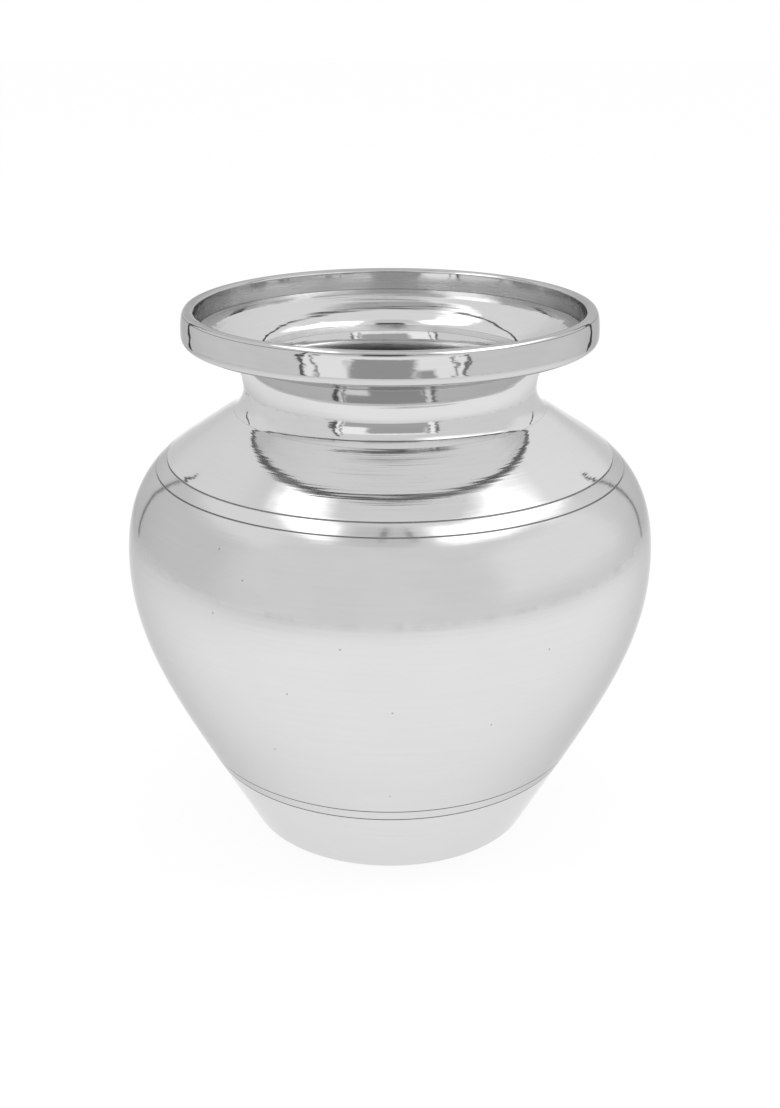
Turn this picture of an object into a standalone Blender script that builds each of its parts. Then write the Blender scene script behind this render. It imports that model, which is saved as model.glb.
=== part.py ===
"""Kalash pot: a round-bellied, silver-coloured metal water pot with a wide dished mouth.

The pot is built up from turned shells. Each shell meets the next in a stepped lap joint: half of the
wall of one shell stands inside half of the wall of the other, and a flat ring of solder lies at the end
of the step. A heavy rim ring sits over the edge of the mouth dish in the same way.

Every shell is cut out of one profile, the outer skin of the pot, so that all of them follow it.
Metres, Z up. The origin is the centre of the flat base, on the surface that the pot stands on.
"""

import math

import bmesh
import bpy
import numpy as np

# Base
BASE_FLAT_RADIUS = 0.0333        # the flat that the pot stands on
BASE_EDGE_RADIUS = 0.0019        # rounding between the flat and the wall
FLOOR_THICKNESS = 0.0026
FLOOR_CORNER = 0.004             # inside rounding between the floor and the wall

# Lower wall, from the base up to the belly
LOWER_WALL_LEAN = math.radians(28.5)     # from upright
LOWER_WALL_STRETCH = 0.0383      # how far the lean is held, as a curve handle
BELLY_RADIUS = 0.0625
BELLY_RISE = 0.068               # from the base rounding up to the widest point
BELLY_LOWER_STRETCH = 0.0193     # curve handle below the widest point

# Shoulder, from the belly in to the neck
BELLY_UPPER_STRETCH = 0.0215     # curve handle above the widest point
SHOULDER_RISE = 0.0287           # from the widest point up to the straight inner shoulder
SHOULDER_RADIUS = 0.0465         # where the straight inner shoulder begins
SHOULDER_SLOPE = math.radians(33.5)      # from level
SHOULDER_STRETCH = 0.0024        # curve handle at the straight inner shoulder

# Neck
NECK_RADIUS = 0.0342             # outside, at the waist
NECK_ROOT_RADIUS = 0.00625       # hollow between the shoulder and the waist
NECK_FLARE_RADIUS = 0.0137       # hollow between the waist and the mouth dish
NECK_FLARE_RISE = 0.0077         # from the waist up to the dish

# Mouth dish and rim ring
DISH_UNDERSIDE_SLOPE = math.radians(20.1)     # from level
DISH_EDGE_THICKNESS = 0.0025
DISH_TOP_SLOPE = math.radians(22.0)      # of the dish where it leaves the rim ring
DISH_TOP_STRETCH = 0.0069        # curve handle at the rim ring
THROAT_STRETCH = 0.0024          # curve handle at the throat
RIM_RADIUS = 0.0479              # outside, at the widest
RIM_OVERHANG = 0.0024            # how far the ring stands out past the dish's edge
RIM_BOTTOM_FLAT = 0.0004
RIM_HEEL_STRETCH = 0.0012        # curve handle at the flat under the ring
RIM_WIDEST_RISE = 0.0024         # from the flat up to the widest point
RIM_LOWER_STRETCH = 0.0018       # curve handle below the widest point
RIM_BAND_STRETCH = 0.0039        # curve handle above the widest point
RIM_CROWN_WIDTH = 0.0017         # from the widest point in to the top
RIM_CROWN_STRETCH = 0.0010       # curve handle at the top, on its outer side
RIM_WALL_HEIGHT = 0.0039         # inner wall, from the dish up to the inner edge
RIM_WALL_DRAFT = 0.00045         # how far the inner wall leans out over its height
RIM_INNER_DROP = 0.00085         # from the top down to the inner edge
RIM_WALL_INSET = 0.00125         # foot of the inner wall, inside the dish's edge

# Walls and joints
WALL = 0.0022
JOINT_CLEARANCE = 0.0003
LAP = 0.004                      # length of the step in the two body joints
NECK_LAP = 0.0024                # length of the step in the two neck joints
SOLDER_HEIGHT = 0.0008
NECK_SOLDER_HEIGHT = 0.0006
RIM_SOLDER = 0.0005              # side of the solder wire under the rim ring

# Turned lines and seams, as heights above the floor
BASE_SEAM_HEIGHT = 0.01915
BASE_LINE_HEIGHT = 0.0220
SHOULDER_LINE_HEIGHT = 0.0910
SHOULDER_SEAM_HEIGHT = 0.0934
NECK_SEAM_DROP = 0.0049          # from the waist down to the seam in the neck's root
LINE_WIDTH = 0.00036
LINE_DEPTH = 0.00025

# Facets
STEPS = 48                       # round the pot
FACET_TURN = math.radians(12.0)  # along the profile, the most that one facet turns
FACET_LENGTH = 0.016             # along the profile, the most that one facet runs
FINE_POINTS = 160                # points on each curve before it is cut into facets
SAME_POINT = 0.000001            # points closer than this count as one
ROUND_HANDLE = 0.5523            # makes a cubic curve follow a quarter of an ellipse

HALF_WALL = (WALL - JOINT_CLEARANCE) / 2
INNER_HALF_DEPTH = HALF_WALL + JOINT_CLEARANCE
DISH_EDGE_RADIUS = RIM_RADIUS - RIM_OVERHANG

SILVER_GREY = (0.80, 0.80, 0.79, 1.0)
DISH_GREY = (0.72, 0.72, 0.72, 1.0)
RIM_GREY = (0.76, 0.76, 0.76, 1.0)
SOLDER_GREY = (0.55, 0.55, 0.54, 1.0)


def clear_objects():
    for old in list(bpy.data.objects):
        bpy.data.objects.remove(old, do_unlink=True)


def direction(angle):
    """Unit vector in the profile's plane: 0 points outwards, a quarter turn points up."""
    return np.array([math.cos(angle), math.sin(angle)])


def arc(centre, radius, start, end):
    """Points on a circle in the profile's plane, from one angle to another."""
    angles = np.linspace(start, end, FINE_POINTS)
    return np.array(centre) + radius * np.column_stack([np.cos(angles), np.sin(angles)])


def curve(start, start_handle, end_handle, end):
    """Points on a cubic curve that leaves along one handle and arrives along the other."""
    t = np.linspace(0.0, 1.0, FINE_POINTS)[:, None]
    corners = [np.array(p, dtype=float) for p in (start, start_handle, end_handle, end)]
    weights = [(1 - t) ** 3, 3 * t * (1 - t) ** 2, 3 * t * t * (1 - t), t ** 3]
    return sum(weight * corner for weight, corner in zip(weights, corners))


class Profile:
    """A fine line in the profile's plane that can be cut into facets at any depth below it."""

    def __init__(self, *stretches):
        points = np.vstack(stretches)
        apart = np.linalg.norm(np.diff(points, axis=0), axis=1) > SAME_POINT
        self.points = points[np.concatenate([[True], apart])]
        steps = np.diff(self.points, axis=0)
        self.length = np.concatenate([[0.0], np.cumsum(np.linalg.norm(steps, axis=1))])
        turned = np.unwrap(np.arctan2(steps[:, 1], steps[:, 0]))
        middles = (self.length[1:] + self.length[:-1]) / 2
        self.turn = np.interp(self.length, middles, turned)
        turning = np.concatenate([[0.0], np.cumsum(np.abs(np.diff(self.turn)))])
        self.measure = turning / FACET_TURN + self.length / FACET_LENGTH

    def at_height(self, height):
        """Distance along the line at which it reaches a height. The line only ever rises."""
        return float(np.interp(height, self.points[:, 1], self.length))

    def place(self, distance, depth=0.0):
        """The point that lies a depth inside the line, square to it."""
        distance = np.asarray(distance, dtype=float)
        across = np.interp(distance, self.length, self.points[:, 0])
        up = np.interp(distance, self.length, self.points[:, 1])
        turn = np.interp(distance, self.length, self.turn)
        return np.stack([across - depth * np.sin(turn), up + depth * np.cos(turn)], axis=-1)

    def run(self, start, end, depth=0.0):
        """Points from one distance to another at one depth, closer together where the line turns."""
        low, high = np.interp([start, end], self.length, self.measure)
        count = max(1, math.ceil(abs(high - low)))
        distances = np.interp(np.linspace(low, high, count + 1), self.measure, self.length)
        return list(self.place(distances, depth))


def body_profile():
    """The outer skin from the edge of the base flat up to the top of the neck."""
    lean = LOWER_WALL_LEAN
    edge_centre = (BASE_FLAT_RADIUS, BASE_EDGE_RADIUS)
    base_edge = arc(edge_centre, BASE_EDGE_RADIUS, -math.pi / 2, -lean)
    wall_foot = base_edge[-1]
    belly = np.array([BELLY_RADIUS, wall_foot[1] + BELLY_RISE])
    lower_wall = curve(wall_foot, wall_foot + LOWER_WALL_STRETCH * direction(math.pi / 2 - lean),
                       belly - BELLY_LOWER_STRETCH * direction(math.pi / 2), belly)

    inward = direction(math.pi - SHOULDER_SLOPE)
    shoulder = np.array([SHOULDER_RADIUS, belly[1] + SHOULDER_RISE])
    upper_wall = curve(belly, belly + BELLY_UPPER_STRETCH * direction(math.pi / 2),
                       shoulder - SHOULDER_STRETCH * inward, shoulder)

    # The hollow of the root touches the straight shoulder and the upright waist.
    touch = math.pi / 2 - SHOULDER_SLOPE
    root_end_radius = NECK_RADIUS + NECK_ROOT_RADIUS * (1 - math.cos(touch))
    root_end_height = shoulder[1] + (shoulder[0] - root_end_radius) * math.tan(SHOULDER_SLOPE)
    waist_height = root_end_height + NECK_ROOT_RADIUS * math.sin(touch)
    root = arc((NECK_RADIUS + NECK_ROOT_RADIUS, waist_height), NECK_ROOT_RADIUS,
               math.pi + touch, math.pi)
    flare_turn = math.asin(min(1.0, NECK_FLARE_RISE / NECK_FLARE_RADIUS))
    flare = arc((NECK_RADIUS + NECK_FLARE_RADIUS, waist_height), NECK_FLARE_RADIUS,
                math.pi, math.pi - flare_turn)
    return Profile(base_edge, lower_wall, upper_wall, root, flare), waist_height


SKIN, WAIST_HEIGHT = body_profile()
NECK_TOP = SKIN.points[-1]
SKIN_END = SKIN.length[-1]
BASE_SEAM = SKIN.at_height(BASE_SEAM_HEIGHT)
SHOULDER_SEAM = SKIN.at_height(SHOULDER_SEAM_HEIGHT)
NECK_SEAM = SKIN.at_height(WAIST_HEIGHT - NECK_SEAM_DROP)
GAP = JOINT_CLEARANCE
HALF_GAP = JOINT_CLEARANCE / 2

# The dish's edge: its top is level, and the rim ring's inner wall stands on it.
DISH_EDGE_HEIGHT = NECK_TOP[1] + (DISH_EDGE_RADIUS - NECK_TOP[0]) * math.tan(DISH_UNDERSIDE_SLOPE)
DISH_TOP_HEIGHT = DISH_EDGE_HEIGHT + DISH_EDGE_THICKNESS
RIM_WALL_RADIUS = DISH_EDGE_RADIUS - RIM_WALL_INSET
RIM_BORE_RADIUS = DISH_EDGE_RADIUS + GAP
RIM_SEAT_HEIGHT = DISH_TOP_HEIGHT + GAP

# The dish's tongue stands inside the top of the neck collar, on a ring of solder.
TONGUE_END = SKIN_END - NECK_LAP
DISH_SOLDER = TONGUE_END - GAP - NECK_SOLDER_HEIGHT


def outer_run(start, end, lines=()):
    """The skin from one distance to another, with a shallow turned line at each height given."""
    points = []
    for height in lines:
        middle = SKIN.at_height(height)
        points += SKIN.run(start, middle - LINE_WIDTH / 2)
        points.append(SKIN.place(middle, LINE_DEPTH))
        start = middle + LINE_WIDTH / 2
    return points + SKIN.run(start, end)


def base_cup_outline():
    """Flat base and the foot of the wall. Its upper edge is the outer half of the lap."""
    socket_end = BASE_SEAM - LAP - 2 * GAP - SOLDER_HEIGHT
    inner = np.array(SKIN.run(socket_end, 0.0, WALL))
    inner = inner[inner[:, 1] > FLOOR_THICKNESS + FLOOR_CORNER]
    corner_drop = (inner[-1][1] - FLOOR_THICKNESS) * math.tan(LOWER_WALL_LEAN)
    corner = np.array([inner[-1][0] - corner_drop, FLOOR_THICKNESS])
    floor_end = corner - np.array([FLOOR_CORNER, 0.0])
    rounding = Profile(curve(inner[-1], (inner[-1] + corner) / 2, (floor_end + corner) / 2, floor_end))
    return [
        np.array([0.0, 0.0]),
        *outer_run(0.0, BASE_SEAM - HALF_GAP),
        *SKIN.run(BASE_SEAM - HALF_GAP, socket_end, HALF_WALL),
        *inner,
        *rounding.run(0.0, rounding.length[-1])[1:],
        np.array([0.0, FLOOR_THICKNESS]),
    ]


def belly_shell_outline():
    """Lower wall, belly and outer shoulder. Both edges are inner halves of a lap."""
    return [
        *outer_run(BASE_SEAM + HALF_GAP, SHOULDER_SEAM - HALF_GAP,
                   (BASE_LINE_HEIGHT, SHOULDER_LINE_HEIGHT)),
        *SKIN.run(SHOULDER_SEAM - HALF_GAP, SHOULDER_SEAM + LAP, INNER_HALF_DEPTH),
        *SKIN.run(SHOULDER_SEAM + LAP, BASE_SEAM - LAP, WALL),
        *SKIN.run(BASE_SEAM - LAP, BASE_SEAM + HALF_GAP, INNER_HALF_DEPTH),
    ]


def shoulder_shell_outline():
    """Inner shoulder. It laps over the belly shell, and its upper edge stands inside the neck."""
    socket_end = SHOULDER_SEAM + LAP + 2 * GAP + SOLDER_HEIGHT
    return [
        *outer_run(SHOULDER_SEAM + HALF_GAP, NECK_SEAM - HALF_GAP),
        *SKIN.run(NECK_SEAM - HALF_GAP, NECK_SEAM + NECK_LAP, INNER_HALF_DEPTH),
        *SKIN.run(NECK_SEAM + NECK_LAP, socket_end, WALL),
        *SKIN.run(socket_end, SHOULDER_SEAM + HALF_GAP, HALF_WALL),
    ]


def neck_collar_outline():
    """Waisted neck. It laps over the shoulder below, and over the dish's tongue above."""
    lower_socket = NECK_SEAM + NECK_LAP + 2 * GAP + NECK_SOLDER_HEIGHT
    upper_socket = DISH_SOLDER - GAP
    return [
        *outer_run(NECK_SEAM + HALF_GAP, SKIN_END - HALF_GAP),
        *SKIN.run(SKIN_END - HALF_GAP, upper_socket, HALF_WALL),
        *SKIN.run(upper_socket, lower_socket, WALL),
        *SKIN.run(lower_socket, NECK_SEAM + HALF_GAP, HALF_WALL),
    ]


def mouth_dish_outline():
    """Flared dish. Its tongue stands in the neck, and its edge carries the rim ring."""
    neck_way = direction(SKIN.turn[-1])
    underside_way = direction(DISH_UNDERSIDE_SLOPE)
    rebate = RIM_SOLDER + GAP
    dish_start = np.array([RIM_WALL_RADIUS, DISH_TOP_HEIGHT])
    throat = SKIN.place(TONGUE_END, WALL)
    throat_way = direction(np.interp(TONGUE_END, SKIN.length, SKIN.turn))
    dish = Profile(curve(dish_start,
                         dish_start - DISH_TOP_STRETCH * direction(DISH_TOP_SLOPE),
                         throat + THROAT_STRETCH * throat_way, throat))
    return [
        throat,
        *SKIN.run(TONGUE_END, SKIN_END, INNER_HALF_DEPTH),
        SKIN.place(SKIN_END, INNER_HALF_DEPTH) + HALF_GAP * neck_way,
        NECK_TOP + HALF_GAP / float(underside_way @ neck_way) * underside_way,
        np.array([DISH_EDGE_RADIUS, DISH_EDGE_HEIGHT]),
        np.array([DISH_EDGE_RADIUS, DISH_TOP_HEIGHT - rebate]),
        np.array([DISH_EDGE_RADIUS - rebate, DISH_TOP_HEIGHT - rebate]),
        np.array([DISH_EDGE_RADIUS - rebate, DISH_TOP_HEIGHT]),
        *dish.run(0.0, dish.length[-1]),
    ]


def rim_ring_outline():
    """Heavy ring: rounded crown, nearly upright band, and a ledge that sits on the dish's edge."""
    outwards, upwards = np.eye(2)
    bottom = DISH_EDGE_HEIGHT + GAP * math.tan(DISH_UNDERSIDE_SLOPE)
    inner_edge = np.array([RIM_WALL_RADIUS + RIM_WALL_DRAFT, RIM_SEAT_HEIGHT + RIM_WALL_HEIGHT])
    crown = np.array([RIM_RADIUS - RIM_CROWN_WIDTH, inner_edge[1] + RIM_INNER_DROP])
    widest = np.array([RIM_RADIUS, bottom + RIM_WIDEST_RISE])
    flat_end = np.array([RIM_BORE_RADIUS + RIM_BOTTOM_FLAT, bottom])
    inner_width = crown[0] - inner_edge[0]
    outside = Profile(
        curve(flat_end, flat_end + RIM_HEEL_STRETCH * outwards,
              widest - RIM_LOWER_STRETCH * upwards, widest),
        curve(widest, widest + RIM_BAND_STRETCH * upwards,
              crown + RIM_CROWN_STRETCH * outwards, crown),
        curve(crown, crown - ROUND_HANDLE * inner_width * outwards,
              inner_edge + ROUND_HANDLE * RIM_INNER_DROP * upwards, inner_edge),
    )
    return [
        np.array([RIM_BORE_RADIUS, RIM_SEAT_HEIGHT]),
        np.array([RIM_BORE_RADIUS, bottom]),
        *outside.run(0.0, outside.length[-1]),
        np.array([RIM_WALL_RADIUS, RIM_SEAT_HEIGHT]),
    ]


def solder_band_outline(start, height):
    """Flat solder ring at the end of a lap, level with the inside of the wall."""
    return [
        *SKIN.run(start, start + height, INNER_HALF_DEPTH),
        *SKIN.run(start + height, start, WALL),
    ]


def square_ring_outline(inner_radius, outer_radius, low, high):
    return [
        np.array([inner_radius, low]),
        np.array([outer_radius, low]),
        np.array([outer_radius, high]),
        np.array([inner_radius, high]),
    ]


def make_material(name, colour, roughness):
    material = bpy.data.materials.new(name)
    material.use_nodes = True
    shader = material.node_tree.nodes["Principled BSDF"]
    shader.inputs["Base Color"].default_value = colour
    shader.inputs["Metallic"].default_value = 1.0
    shader.inputs["Roughness"].default_value = roughness
    return material


def without_repeats(outline, closed):
    """Drops points that fall on the one before, and the last one where it meets the first."""
    kept = [outline[0]]
    for point in outline[1:]:
        if np.linalg.norm(point - kept[-1]) > SAME_POINT:
            kept.append(point)
    if closed and np.linalg.norm(kept[0] - kept[-1]) <= SAME_POINT:
        kept.pop()
    return kept


def turn_piece(name, outline, colour, roughness, parent, closed=True):
    """Turns an outline about the Z axis into one closed solid. The outline runs up its outer side."""
    points = without_repeats(outline, closed)[::-1]
    mesh = bpy.data.meshes.new(name)
    shape = bmesh.new()
    corners = [shape.verts.new((point[0], 0.0, point[1])) for point in points]
    for first, second in zip(corners, corners[1:]):
        shape.edges.new((first, second))
    if closed:
        shape.edges.new((corners[-1], corners[0]))
    shape.to_mesh(mesh)
    shape.free()
    piece = bpy.data.objects.new(name, mesh)
    bpy.context.scene.collection.objects.link(piece)
    turning = piece.modifiers.new("turning", "SCREW")
    turning.axis = "Z"
    turning.angle = 2 * math.pi
    turning.steps = STEPS
    turning.render_steps = STEPS
    turning.use_merge_vertices = True
    turning.merge_threshold = 0.00001
    turning.use_smooth_shade = True
    piece.data.materials.append(make_material(name + "_metal", colour, roughness))
    piece.parent = parent
    return piece


def build_pot():
    pot = bpy.data.objects.new("kalash_pot", None)
    bpy.context.scene.collection.objects.link(pot)

    turn_piece("base_cup", base_cup_outline(), SILVER_GREY, 0.20, pot, closed=False)
    turn_piece("belly_shell", belly_shell_outline(), SILVER_GREY, 0.18, pot)
    turn_piece("shoulder_shell", shoulder_shell_outline(), SILVER_GREY, 0.16, pot)
    turn_piece("neck_collar", neck_collar_outline(), SILVER_GREY, 0.14, pot)
    turn_piece("mouth_dish", mouth_dish_outline(), DISH_GREY, 0.20, pot)
    turn_piece("rim_ring", rim_ring_outline(), RIM_GREY, 0.14, pot)

    base_solder = BASE_SEAM - LAP - GAP - SOLDER_HEIGHT
    shoulder_solder = SHOULDER_SEAM + LAP + GAP
    neck_solder = NECK_SEAM + NECK_LAP + GAP
    rim_solder_low = DISH_TOP_HEIGHT - RIM_SOLDER
    rim_solder_inside = DISH_EDGE_RADIUS - RIM_SOLDER
    solder_rings = {
        "base_solder_ring": solder_band_outline(base_solder, SOLDER_HEIGHT),
        "shoulder_solder_ring": solder_band_outline(shoulder_solder, SOLDER_HEIGHT),
        "neck_solder_ring": solder_band_outline(neck_solder, NECK_SOLDER_HEIGHT),
        "dish_solder_ring": solder_band_outline(DISH_SOLDER, NECK_SOLDER_HEIGHT),
        "rim_solder_ring": square_ring_outline(rim_solder_inside, DISH_EDGE_RADIUS,
                                               rim_solder_low, DISH_TOP_HEIGHT),
    }
    for name, outline in solder_rings.items():
        turn_piece(name, outline, SOLDER_GREY, 0.45, pot)


clear_objects()
build_pot()
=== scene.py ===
"""Kalash pot: the polished surfaces, the studio and the camera, made around the packed model.

Every piece of the pot is a surface of revolution. One line, the outer skin, runs from the base flat up
to the foot of the mouth dish, and each piece's closed outline is cut from it at some depth below it.
Metres, Z up, origin at the centre of the base flat.
"""

import math

import bpy
import numpy as np
from bpy.props import FloatProperty, FloatVectorProperty, IntProperty, PointerProperty
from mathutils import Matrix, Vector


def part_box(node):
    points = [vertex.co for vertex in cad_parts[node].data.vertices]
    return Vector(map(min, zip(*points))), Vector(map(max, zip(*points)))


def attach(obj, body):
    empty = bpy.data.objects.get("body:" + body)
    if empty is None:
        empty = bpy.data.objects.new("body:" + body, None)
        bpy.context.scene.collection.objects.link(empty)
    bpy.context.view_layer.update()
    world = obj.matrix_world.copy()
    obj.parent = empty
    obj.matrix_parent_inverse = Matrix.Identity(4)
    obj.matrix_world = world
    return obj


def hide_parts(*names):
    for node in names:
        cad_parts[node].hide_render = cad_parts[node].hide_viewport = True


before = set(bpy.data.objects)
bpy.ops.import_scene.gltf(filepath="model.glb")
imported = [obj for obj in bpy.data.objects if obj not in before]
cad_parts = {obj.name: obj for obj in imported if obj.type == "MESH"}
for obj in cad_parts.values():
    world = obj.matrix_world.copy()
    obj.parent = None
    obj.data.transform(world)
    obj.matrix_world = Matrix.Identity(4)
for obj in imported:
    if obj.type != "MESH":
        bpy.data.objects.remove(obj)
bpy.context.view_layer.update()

bl_info = {
    "name": "Kalash pot",
    "version": (1, 0, 0),
    "blender": (4, 5, 0),
    "location": "3D view, sidebar, Kalash pot",
    "description": "Makes a turned and polished metal water pot and its studio, piece by piece",
    "category": "Object",
}

BELLY_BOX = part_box("belly_shell")
RIM_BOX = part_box("rim_ring")

FINE_POINTS = 400                # points on each curve before it is cut into rows
SAME_POINT = 1e-7
ROUND_HANDLE = 0.5523            # makes a cubic curve follow a quarter of an ellipse
CORNER_TURN = math.radians(14)   # a vertex of an outline that turns more than this is a corner
CORNER_STEPS = np.linspace(0, 1, 5)
CORNER_ROWS = np.array([0.06, 0.2, 0.5])  # where the extra rows by a corner are, in rows
EASE_SHARE = 0.4                 # most of an outline's step that an eased edge takes
PHOTO_SIZE = (780, 1108)
SENSOR_LONG_SIDE = 36.0
NEAREST_SEEN = 0.01              # the camera sees nothing closer than this


# Sizes and finishes that a user would change

def length(name, description, default):
    return FloatProperty(name=name, description=description, default=default, unit="LENGTH",
                         precision=5, step=0.01)


def angle(name, description, degrees):
    return FloatProperty(name=name, description=description, default=math.radians(degrees),
                         unit="ROTATION")


def share(name, description, default):
    return FloatProperty(name=name, description=description, default=default, subtype="FACTOR",
                         soft_min=0.0, soft_max=1.0)


def colour(name, description, default):
    return FloatVectorProperty(name=name, description=description, default=default, size=3,
                               subtype="COLOR", min=0.0, max=1.0)


class KALASH_PG_body(bpy.types.PropertyGroup):
    """Base, lower wall, belly and shoulder."""
    base_flat_radius: length("Base flat", "Radius of the flat that the pot stands on", 0.0333)
    base_edge_radius: length("Base rounding", "Rounding between the flat and the wall", 0.0019)
    floor_thickness: length("Floor", "Thickness of the floor", 0.0026)
    floor_corner: length("Floor corner", "Inside rounding between the floor and the wall", 0.004)
    wall_lean: angle("Wall lean", "Lean of the lower wall from upright", 28.5)
    wall_stretch: length("Wall stretch", "Curve handle at the foot of the lower wall", 0.0383)
    belly_radius: length("Belly", "Radius at the widest point", BELLY_BOX[1].x)
    belly_rise: length("Belly rise", "From the base rounding up to the widest point", 0.068)
    belly_lower_stretch: length("Belly, below", "Curve handle below the widest point", 0.0193)
    belly_upper_stretch: length("Belly, above", "Curve handle above the widest point", 0.01775)
    shoulder_rise: length("Shoulder rise", "From the widest point up to the inner shoulder", 0.02936)
    shoulder_radius: length("Shoulder", "Radius where the straight inner shoulder begins", 0.0455)
    shoulder_slope: angle("Shoulder slope", "Slope of the inner shoulder from level", 33.5)
    shoulder_stretch: length("Shoulder stretch", "Curve handle at the inner shoulder", 0.0115)


class KALASH_PG_neck(bpy.types.PropertyGroup):
    """The waisted neck."""
    radius: length("Waist", "Outer radius of the neck at its waist", 0.0342)
    root_radius: length("Root hollow", "Hollow between the shoulder and the waist", 0.00625)
    flare_radius: length("Flare hollow", "Hollow between the waist and the mouth dish", 0.0137)
    flare_rise: length("Flare rise", "From the waist up to the mouth dish", 0.0077)


class KALASH_PG_mouth(bpy.types.PropertyGroup):
    """Mouth dish and rim ring."""
    underside_slope: angle("Underside slope", "Slope of the dish's underside from level", 20.1)
    edge_thickness: length("Dish edge", "Thickness of the dish at its edge", 0.0025)
    top_slope: angle("Dish slope", "Slope of the dish where it leaves the rim ring", 22.0)
    top_stretch: length("Dish stretch", "Curve handle at the rim ring", 0.0069)
    throat_stretch: length("Throat stretch", "Curve handle at the throat", 0.0024)
    rim_radius: length("Rim", "Radius of the rim ring at its widest", RIM_BOX[1].x)
    rim_overhang: length("Overhang", "How far the ring stands out past the dish's edge", 0.0024)
    bottom_flat: length("Rim flat", "Width of the flat under the ring", 0.0004)
    heel_stretch: length("Heel stretch", "Curve handle at the flat under the ring", 0.0012)
    widest_rise: length("Widest rise", "From the flat under the ring to its widest point", 0.0024)
    lower_stretch: length("Band, below", "Curve handle below the widest point", 0.0018)
    band_stretch: length("Band, above", "Curve handle above the widest point", 0.0039)
    crown_width: length("Crown width", "From the widest point in to the top", 0.0017)
    crown_stretch: length("Crown stretch", "Curve handle at the top, on its outer side", 0.0010)
    crown_line_drop: length("Crown line", "From the top down to the line round the crown", 0.00072)
    wall_height: length("Inner wall", "From the dish up to the ring's inner edge", 0.0039)
    wall_draft: length("Inner draft", "How far the inner wall leans out over its height", 0.00045)
    inner_drop: length("Inner drop", "From the top of the ring down to its inner edge", 0.00085)
    wall_inset: length("Inner inset", "From the dish's edge in to the foot of the inner wall", 0.00125)


class KALASH_PG_joints(bpy.types.PropertyGroup):
    """Walls, laps, solder and turned lines."""
    wall: length("Wall", "Thickness of the shells", 0.0022)
    clearance: length("Clearance", "Gap that the packed model keeps between its pieces", 0.0003)
    hairline: length("Hairline", "Gap at a seam that is polished over", 0.00001)
    rim_gap: length("Rim gap", "Gap between the dish's edge and the rim ring", 0.00004)
    lap: length("Lap", "Length of the step in the two body joints", 0.004)
    neck_lap: length("Neck lap", "Length of the step in the two neck joints", 0.0024)
    solder_height: length("Solder", "Height of the solder in the body joints", 0.0008)
    neck_solder_height: length("Neck solder", "Height of the solder in the neck joints", 0.0006)
    rim_solder: length("Rim solder", "Side of the solder wire under the rim ring", 0.0005)
    base_seam_height: length("Base seam", "Height of the seam near the base", 0.01915)
    base_line_height: length("Base line", "Height of the turned line near the base", 0.0220)
    shoulder_line_height: length("Shoulder line", "Height of the shoulder's turned line", 0.0910)
    shoulder_seam_height: length("Shoulder seam", "Height of the seam on the shoulder", 0.0934)
    neck_seam_drop: length("Neck seam drop", "From the waist down to the seam in the root", 0.0049)
    fine_line: length("Fine line", "Width of a turned line", 0.00034)
    heavy_line: length("Heavy line", "Width of the groove at a seam", 0.00042)
    line_depth: length("Line depth", "Depth of the turned lines", 0.00022)
    ease: length("Eased edge", "Length that an edge gives up on each side", 0.00004)


class KALASH_PG_mesh(bpy.types.PropertyGroup):
    """How fine the surfaces are."""
    steps: IntProperty(name="Steps", description="Steps round the pot", default=288, min=48)
    row_turn: angle("Row turn", "Most that one row of the outer skin turns", 2.0)
    row_length: length("Row length", "Most that one row of the outer skin runs", 0.0014)
    inner_share: share("Inner share", "How close the inner rows are, against the outer ones", 0.4)


class KALASH_PG_finish(bpy.types.PropertyGroup):
    """Metal finishes, with painted shade in the throat, on the rim ring's inner wall and under the ring.
    """
    silver: colour("Silver", "Reflected colour of the polished outside", (0.72, 0.72, 0.72))
    rim_silver: colour("Rim silver", "Reflected colour of the rim ring", (0.645, 0.645, 0.645))
    dish_silver: colour("Dish silver", "Reflected colour of the dish", (0.79, 0.79, 0.79))
    dish_under: colour("Dish underside", "Reflected colour under the dish", (0.82, 0.82, 0.82))
    # Painted shade: the ring's inner wall is darker low down, by the dish; its higher roughness is
    # duller metal
    rim_inside_shade: colour("Rim inside", "Duller metal low on the ring's inner wall", (0.54, 0.54, 0.54))
    # Painted shade: the tongue is darker where it stands inside the neck; its higher roughness is duller
    # metal
    tongue_shade: colour("Dish tongue", "Duller metal at the top of the throat", (0.60, 0.60, 0.60))
    # Painted shade: the throat is dark deep inside; its higher roughness is unpolished metal
    throat_shade: colour("Throat", "Unpolished metal deep in the throat", (0.27, 0.27, 0.27))
    inside_silver: colour("Inside silver", "Reflected colour inside the bowl", (0.60, 0.60, 0.60))
    solder_grey: colour("Solder", "Colour of the solder", (0.66, 0.66, 0.66))
    # Residue in the turned lines and pits, and painted shade under the rim ring
    residue_and_shade: colour("Line residue", "Polish residue in the turned lines", (0.15, 0.15, 0.15))
    body_gloss: share("Body roughness", "Roughness of the polished outside", 0.12)
    shoulder_gloss: share("Shoulder roughness", "Roughness of the inner shoulder", 0.07)
    rim_gloss: share("Rim roughness", "Roughness of the rim ring", 0.06)
    dish_gloss: share("Dish roughness", "Roughness of the dish", 0.07)
    inside_gloss: share("Inside roughness", "Roughness inside the bowl", 0.34)


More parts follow.
